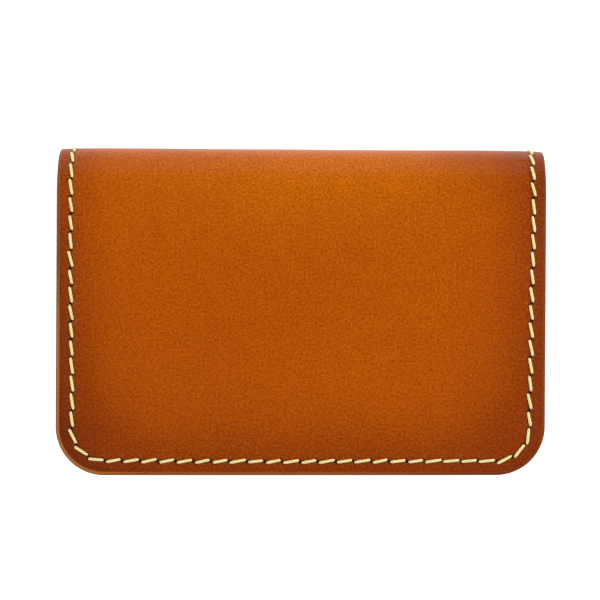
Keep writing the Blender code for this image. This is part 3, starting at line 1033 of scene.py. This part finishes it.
# %% [markdown]
# ## The card slots
#
# Two flat panels are sewn into the front half. Each has a straight mouth towards the fold,
# and the upper one is shorter so that both rows of cards show. Real slots have a line
# pressed in along the mouth with a hot creaser, so the mouth gets a shallow furrow.

# %% Build the two card slots
CREASE_INSET = 2.0 * MM


def mouth_crease(distance):
    """A pressed line near a mouth, for points at a distance from it."""
    return 0.12 * MM * np.exp(-(((distance - CREASE_INSET) / (0.28 * MM)) ** 2))


def slot_panel(name, node, mouth_y, w_top, w_bottom):
    """A flat panel inside the front half, whose inner face is the one that shows."""
    v_low = flat_v(mouth_y)
    rounded = (False, True)
    flat, quads = flat_sheet(v_low, HALF_LENGTH, rounded, w_top, w_bottom, THIN_BEVEL)
    x, v, w = flat.T
    along, across = seam_place(x, v)
    shown = smooth(w, w_top, w_bottom)
    sunk = mouth_crease(v - v_low) + FURROW * np.exp(-((across / (0.7 * MM)) ** 2))
    points = place(x, v, w - shown * sunk)
    attributes = sheet_attributes(flat, v_low, HALF_LENGTH, rounded)
    piece = add_piece(name, points, quads, pocket_leather, attributes, point_normals(points, quads))
    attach(piece, "front")
    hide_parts(node)
    print(name, round(1000 * (HALF_LENGTH - v_low), 1), "mm tall")


slot_panel("slot_deep", "slot_panel_deep", DEEP_MOUTH_Y, INNER_AT, SHALLOW_AT - LAYER_GAP)
slot_panel("slot_shallow", "slot_panel_shallow", SHALLOW_MOUTH_Y, SHALLOW_AT, SHALLOW_END)

# %% [markdown]
# ## The pocket front
#
# The pocket front is a thicker panel that the gusset holds above the lining. It doesn't
# follow the fold, so it has its own placing function: flat, at the pocket's height. It is
# measured from its open edge like the other panels, which keeps the seam coordinates.

# %% Build the pocket front
POCKET_SWELL = 0.25 * MM
POCKET_THICKNESS = POCKET_TOP - POCKET_BOTTOM


def place_pocket(x, v, w):
    """World points of the pocket front's flat points, w below its upper face."""
    y = CAD_LOW.y + HALF_LENGTH - v
    swell = POCKET_SWELL * smooth(v, HALF_LENGTH, flat_v(POCKET_MOUTH_Y)) * (1 - (2 * x / WIDTH) ** 4)
    return np.stack([x, y, POCKET_TOP - w + swell], axis=-1)


pocket_low = flat_v(POCKET_MOUTH_Y)
pocket_rounded = (False, True)
pocket_depth = POCKET_THICKNESS + 0.2 * MM
flat, quads = flat_sheet(pocket_low, HALF_LENGTH, pocket_rounded, 0.0, pocket_depth, 0.4 * MM)
x, v, w = flat.T
pocket_shown = 1 - smooth(w, 0, POCKET_THICKNESS)
pocket_sunk = relief(x, v, 0.8) + mouth_crease(v - pocket_low)
points = place_pocket(x, v, w + pocket_shown * pocket_sunk)
pocket_attributes = sheet_attributes(flat, pocket_low, HALF_LENGTH, pocket_rounded)
pocket_normals = point_normals(points, quads)
pocket = add_piece("pocket_panel", points, quads, pocket_leather, pocket_attributes, pocket_normals)
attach(pocket, "pocket")
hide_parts("pocket_front")
print("pocket front:", len(quads), "quads")

# %% [markdown]
# ## The gusset
#
# The gusset is one strip, folded lengthwise with its crease inwards, that runs round three
# sides of the pocket. Its cross-section is drawn once as a soft V, thickened, and swept
# along the U of the pocket. At the corners each point of the section turns on its own
# radius, which is how a real strip gathers there.

# %% The gusset's section: a soft V with a flange at both ends
GUSSET_THICKNESS = 0.7 * MM
GUSSET_CREASE = 8.6 * MM
GUSSET_FLANGE = 4.6 * MM
FLANGE_SHARE = 0.75


def bowed(share):
    """Inset of the V's arms, from the flange's edge to the crease, for shares from -1 to 1."""
    bow = np.cos(share * math.pi / 2) ** 1.5
    return GUSSET_FLANGE + (GUSSET_CREASE - GUSSET_FLANGE) * bow


def gusset_line(count=33):
    """The middle of the strip's section: (inset from the edge, height), bottom to top."""
    low = GUSSET_LOW + GUSSET_THICKNESS / 2 + BACK_RISE - 0.1 * MM
    high = GUSSET_HIGH - GUSSET_THICKNESS / 2 + 0.1 * MM
    share = np.linspace(-1, 1, count)
    rise = np.sin(np.clip(share / FLANGE_SHARE, -1, 1) * math.pi / 2)
    flange = np.clip((np.abs(share) - FLANGE_SHARE) / (1 - FLANGE_SHARE), 0, 1)
    inset = (1 - flange) * bowed(np.minimum(np.abs(share), FLANGE_SHARE))
    return np.stack([inset, (low + high) / 2 + (high - low) / 2 * rise], axis=1)


def thickened(line, thickness):
    """A closed section round an open line."""
    along = np.gradient(line, axis=0)
    side = np.stack([-along[:, 1], along[:, 0]], axis=1)
    side /= np.linalg.norm(side, axis=1, keepdims=True)
    return np.concatenate([line + side * thickness / 2, (line - side * thickness / 2)[::-1]])


section = thickened(gusset_line(), GUSSET_THICKNESS)
print("the gusset's section has", len(section), "points")

# %% The gusset's path round the pocket


def gusset_path(inset, end_y, bow):
    """The U that one point of the section follows: down the left, along, and up the right."""
    radius = CORNER_RADIUS - inset
    corner_x, corner_y = WIDTH / 2 - CORNER_RADIUS, CAD_LOW.y + CORNER_RADIUS
    angles = np.linspace(0, math.pi / 2, 15)
    side_y = np.linspace(end_y, corner_y, 60)[:-1]
    ripple = bow * np.sin(side_y / (4.3 * MM))
    left = np.stack([inset - WIDTH / 2 + ripple, side_y], axis=1)
    turn = np.stack([-corner_x - radius * np.cos(angles), corner_y - radius * np.sin(angles)], axis=1)
    bottom = np.stack([np.linspace(-corner_x, 0, 40)[1:], np.full(39, corner_y - radius)], axis=1)
    bottom[:, 1] += bow * np.sin(bottom[:, 0] / (5.1 * MM)) * smooth(-bottom[:, 0], -corner_x, 0)
    half = np.concatenate([left, turn, bottom])
    return np.concatenate([half, (half * [-1, 1])[-2::-1]])


print("the path has", len(gusset_path(0.0, POCKET_MOUTH_Y, 0.0)), "points")

# %% Sweep the section along the path
columns = []
for inset, rise in section:
    share = (rise - GUSSET_LOW) / (GUSSET_HIGH - GUSSET_LOW)
    end_y = GUSSET_FOOT_Y + np.clip(share, 0, 1) * (POCKET_MOUTH_Y - GUSSET_FOOT_Y)
    bow = 0.12 * MM * smooth(inset, GUSSET_FLANGE, GUSSET_CREASE)
    path = gusset_path(inset, end_y, bow)
    columns.append(np.column_stack([path, np.full(len(path), rise)]))
columns = np.array(columns)
count, length = columns.shape[:2]
index = np.arange(count * length).reshape(count, length)
after = np.roll(index, -1, axis=0)
quads = np.stack([index[:, :-1], index[:, 1:], after[:, 1:], after[:, :-1]], axis=-1).reshape(-1, 4)
k = np.arange(count // 2 - 1)
for row, step in ((0, -1), (-1, 1)):
    cap = [index[k, row], index[k + 1, row], index[count - 2 - k, row], index[count - 1 - k, row]]
    quads = np.concatenate([quads, np.stack(cap, axis=1)[:, ::step]])
points = columns.reshape(-1, 3)
print("gusset strip:", len(quads), "quads")

# %% Make the gusset a piece held by the back
NO_SEAM = (0.5, 20.0, 0.0)
gusset_attributes = {
    "flat_place": points + [0, 0.1, 0],
    "edge_mm": 1000 * np.repeat(section[:, 0], length),
    "seam": np.tile(NO_SEAM, (len(points), 1)),
    "painted_light": np.zeros(len(points)),
    "painted_shade_depth": np.zeros(len(points)),
    "dye_share": np.ones(len(points)),
    "rub": np.full(len(points), 0.3),
}
gusset = add_piece("gusset_strip", points, quads, gusset_leather, gusset_attributes)
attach(gusset, "back")
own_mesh(gusset)
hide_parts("gusset")

# %% [markdown]
# ## The stitches
#
# A saddle stitch is sewn with two needles, so a thread runs on both faces between every
# two holes, and each stitch leans a little, because one thread always crosses over the
# other in the hole. A curve with a bevel would give a smooth wire. Instead one stitch is
# a tube whose section has three lobes that turn as it goes along, and that dives into
# the leather at both ends. Every stitch is placed on the flat sheet and folded with it.

# %% One stitch, laid along a, with b to its side and h above the leather
STITCH_LENGTH = PITCH - 0.40 * MM
THREAD_RADIUS = 0.315 * MM
LEAN = math.radians(10)
STRAND_TURNS_PER_METRE = 330.0
FIBRES_PER_METRE = 900.0
STEPS_ALONG, STEPS_ROUND = 19, 15
rng = np.random.default_rng(20)


def stitch_mesh(length, lift, phase):
    """Points (a, b, h) of one stitch, with its fibre place and how deep each point lies."""
    t = np.linspace(-1, 1, STEPS_ALONG)
    a = t * length / 2 * (1 - 0.05 * t**6)
    h = lift * (1 - 0.55 * t**4) - 0.55 * MM * np.abs(t) ** 14
    slope = np.arctan2(np.gradient(h), np.gradient(a))
    around = np.linspace(0, 2 * math.pi, STEPS_ROUND, endpoint=False)
    turn = 2 * math.pi * STRAND_TURNS_PER_METRE * a[:, None] + phase
    lobes = np.cos(3 * (around[None, :] - turn))
    radius = THREAD_RADIUS * (1 + 0.11 * lobes) * (1 - 0.26 * t[:, None] ** 6)
    up, side = radius * np.sin(around) * 0.86, radius * np.cos(around)
    back = up * np.sin(slope)[:, None]
    above = up * np.cos(slope)[:, None]
    points = np.stack([a[:, None] - back, side, h[:, None] + above], axis=-1)
    strand = around[None, :] - turn
    along = np.broadcast_to(a[:, None] * FIBRES_PER_METRE, lobes.shape)
    fibre = np.stack([np.cos(strand) * 2.2, np.sin(strand) * 2.2, along], axis=-1)
    return points.reshape(-1, 3), fibre.reshape(-1, 3), (0.5 - 0.5 * lobes).ravel() ** 2


def stitch_quads():
    """Quads of one stitch's tube. Its ends are closed by the leather that they dive into."""
    i, j = np.meshgrid(np.arange(STEPS_ALONG - 1), np.arange(STEPS_ROUND), indexing="ij")
    after = (j + 1) % STEPS_ROUND
    a, b = i * STEPS_ROUND + j, i * STEPS_ROUND + after
    return np.stack([a, a + STEPS_ROUND, b + STEPS_ROUND, b], axis=-1).reshape(-1, 4)


ONE_STITCH = stitch_quads()
print("one stitch:", len(ONE_STITCH), "quads")

# %% [markdown]
# The outer run of the seam lies on the cover's relief, and the inner run on whichever
# layer is innermost there: lining over the fold, gusset on the back half, and the slots
# on the front half, where it steps down at each mouth.

# %% Lay one stitch on the holder
INTO_LEATHER = 0.1 * MM


def inner_depth(v):
    """Depth below the outer face of the innermost layer at v."""
    if v < 0:
        return FLANGE_END if -v > HALF_LENGTH - (GUSSET_FOOT_Y - CAD_LOW.y) else INNER_AT
    if v > flat_v(SHALLOW_MOUTH_Y):
        return SHALLOW_END
    return SHALLOW_AT if v > flat_v(DEEP_MOUTH_Y) else INNER_AT


def lay_stitch(centre, direction, surface, outer):
    """Points of one stitch on the folded holder, on its outer or inner face."""
    length = STITCH_LENGTH * rng.uniform(0.90, 1.05)
    lift = 0.20 * MM * rng.uniform(0.85, 1.15)
    local, fibre, valley_depth = stitch_mesh(length, lift, rng.uniform(0, 2 * math.pi))
    lean = (LEAN + math.radians(rng.normal(0, 2.2))) * (-1 if outer else 1)
    heading = math.atan2(direction[1], direction[0]) + lean
    x = centre[0] + local[:, 0] * math.cos(heading) - local[:, 1] * math.sin(heading)
    v = centre[1] + local[:, 0] * math.sin(heading) + local[:, 1] * math.cos(heading)
    fibre = fibre + rng.uniform(0, 50, 3)
    return surface(x, v, local[:, 2]), fibre, valley_depth


mouths = [inner_depth(flat_v(y) + 0.1 * MM) for y in (DEEP_MOUTH_Y, SHALLOW_MOUTH_Y)]
print("behind the mouths the inner run lies", [round(1000 * depth, 2) for depth in mouths], "mm deep")

# %% Lay the stitches along the seam


def outer_surface(x, v, h):
    """Stitches on the cover: on its relief, and h above it."""
    return place(x, v, relief(x, v, 1.0) - h)


def inner_surface(x, v, h):
    """Stitches on the innermost layer, h above it."""
    depth = inner_depth(float(v.mean()))
    return place(x, v, depth + h - INTO_LEATHER)


def join_stitches(laid, name):
    """One piece from many stitches."""
    size = STEPS_ALONG * STEPS_ROUND
    points, fibres_at, valleys = (np.concatenate([stitch[k] for stitch in laid]) for k in range(3))
    quads = np.concatenate([ONE_STITCH + n * size for n in range(len(laid))])
    return add_piece(name, points, quads, thread, {"fibre_place": fibres_at, "valley": valleys})


THREAD_NODES = [
    ["back_seam_thread"],
    ["spine_thread_left_1", "spine_thread_right_1", "spine_thread_left_2", "spine_thread_right_2"],
    ["spine_thread_left_3", "spine_thread_right_3"],
    ["front_seam_thread"],
]
sections = [[] for _ in SECTION_NAMES]
for number in range(STITCH_COUNT):
    x0, v0, direction = seam_point((number + 0.5) * PITCH)
    section_index = int(np.searchsorted(CUTS[1:4], v0))
    for outer, surface in ((True, outer_surface), (False, inner_surface)):
        sections[section_index].append(lay_stitch((x0, v0), direction, surface, outer))
for section_index, laid in enumerate(sections):
    piece = join_stitches(laid, "seam_thread_" + SECTION_NAMES[section_index])
    bend(piece, section_index)
    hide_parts(*THREAD_NODES[section_index])
    print(piece.name, len(laid), "stitches")

# %% [markdown]
# The pocket's own seam joins its front panel to the gusset. It follows the same line,
# from the mouth down one side, along the bottom and up the other.

# %% Lay the pocket's stitches


def pocket_surface(x, v, h):
    """Stitches on the pocket front's upper face."""
    return place_pocket(x, v, relief(x, v, 0.8) - h)


def pocket_under(x, v, h):
    """Stitches under the gusset's upper flange."""
    return place_pocket(x, v, POCKET_TOP - GUSSET_HIGH + GUSSET_THICKNESS + h - INTO_LEATHER)


laid = []
for number in range(STITCH_COUNT):
    x0, v0, direction = seam_point((number + 0.5) * PITCH)
    if v0 > pocket_low + STITCH_LENGTH / 2:
        for outer, surface in ((True, pocket_surface), (False, pocket_under)):
            laid.append(lay_stitch((x0, v0), direction, surface, outer))
pocket_thread = join_stitches(laid, "pocket_thread")
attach(pocket_thread, "pocket")
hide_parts("pocket_seam_thread")
print("pocket seam:", len(laid), "stitches")

# %% [markdown]
# ## Floor, light and camera
#
# The holder lies on a plain white table. The table glows a little near the holder, which
# keeps a soft contact shadow, and more further away, where it would otherwise turn grey.
# Four large panels light it. The low one beyond the fold is mirrored in the leather and
# gives the fold its highlight. The others light it but give no mirror image, because a
# mirrored panel makes the flat cover look milky. The sky is dim for the same reason, with
# a brighter horizon, and the camera itself sees plain white.

# %% The floor
FLOOR_HALF = 3.0
FLOOR_Z = CAD_LOW.z - 0.1 * MM
floor_mesh = bpy.data.meshes.new("floor")
corners = [(sx * FLOOR_HALF, sy * FLOOR_HALF) for sx, sy in ((-1, -1), (1, -1), (1, 1), (-1, 1))]
floor_mesh.from_pydata([(x, y, FLOOR_Z) for x, y in corners], [], [(0, 1, 2, 3)])
floor = bpy.data.objects.new("floor", floor_mesh)
bpy.context.scene.collection.objects.link(floor)
floor_material, floor_tree, floor_shader = start_material("floor_white")
floor_shader.inputs["Base Color"].default_value = (0.93, 0.93, 0.93, 1)
floor_shader.inputs["Roughness"].default_value = 0.9
floor_shader.inputs["Specular IOR Level"].default_value = 0.1
floor_shader.inputs["Emission Strength"].default_value = 1.0
floor_place = floor_tree.nodes.new("ShaderNodeTexCoord")
from_holder = floor_tree.nodes.new("ShaderNodeVectorMath")
from_holder.operation = "LENGTH"
floor_tree.links.new(floor_place.outputs["Object"], from_holder.inputs[0])
floor_glow = remap(floor_tree, from_holder.outputs["Value"], 0.35, 0.95, 0.6, 1.0)
floor_tree.links.new(floor_glow, floor_shader.inputs["Emission Color"])
floor_mesh.materials.append(floor_material)
print("floor at z", round(1000 * FLOOR_Z, 2), "mm")

# %% Lights


def panel_light(name, location, size, power, glare=True):
    """A large soft panel that faces the holder."""
    light = bpy.data.lights.new(name, "AREA")
    light.shape = "RECTANGLE"
    light.size, light.size_y = size
    light.energy = power
    lamp = bpy.data.objects.new(name, light)
    bpy.context.scene.collection.objects.link(lamp)
    lamp.location = location
    aim = lamp.location.copy()
    aim.negate()
    lamp.rotation_mode = "QUATERNION"
    lamp.rotation_quaternion = aim.to_track_quat("-Z", "Y")
    lamp.visible_glossy = glare


panel_light("panel_beyond_fold", (0.05, 0.90, 0.40), (1.2, 0.4), 2.1)
panel_light("panel_right", (0.75, 0.12, 0.50), (0.5, 1.0), 9.7, glare=False)
panel_light("panel_left", (-0.80, 0.10, 0.45), (0.5, 1.0), 7.1, glare=False)
panel_light("panel_near", (0.0, -0.80, 0.55), (1.0, 0.4), 2.8, glare=False)

# %% The sky
HORIZON, OVERHEAD = 0.50, 0.05
world = bpy.data.worlds.new("light_tent")
world.use_nodes = True
sky = world.node_tree
sky_place = sky.nodes.new("ShaderNodeTexCoord")
upwards = sky.nodes.new("ShaderNodeSeparateXYZ")
sky.links.new(sky_place.outputs["Generated"], upwards.inputs[0])
brightness = remap(sky, upwards.outputs[2], 0.06, 0.45, HORIZON, OVERHEAD)
seen = sky.nodes.new("ShaderNodeLightPath").outputs["Is Camera Ray"]
sky.links.new(mix(sky, seen, brightness, (1, 1, 1)), sky.nodes["Background"].inputs["Color"])
bpy.context.scene.world = world
bpy.context.scene.view_settings.view_transform = "Standard"
print("the sky goes from", HORIZON, "at the horizon to", OVERHEAD, "overhead")

# %% [markdown]
# The camera looks straight down on the front cover, from half a metre, which is close
# enough for the fold's far edge to look slightly narrower than the cover.

# %% The camera
CAMERA_DISTANCE = 0.50
FRAME_WIDTH = 134.6 * MM
CAMERA_Y = 2.5 * MM
camera_data = bpy.data.cameras.new("camera")
camera = bpy.data.objects.new("camera", camera_data)
bpy.context.scene.collection.objects.link(camera)
camera.location = (0, CAMERA_Y, CAD_HIGH.z + CAMERA_DISTANCE)
camera_data.lens = camera_data.sensor_width * CAMERA_DISTANCE / FRAME_WIDTH
bpy.context.scene.camera = camera
print("lens", round(camera_data.lens), "mm")
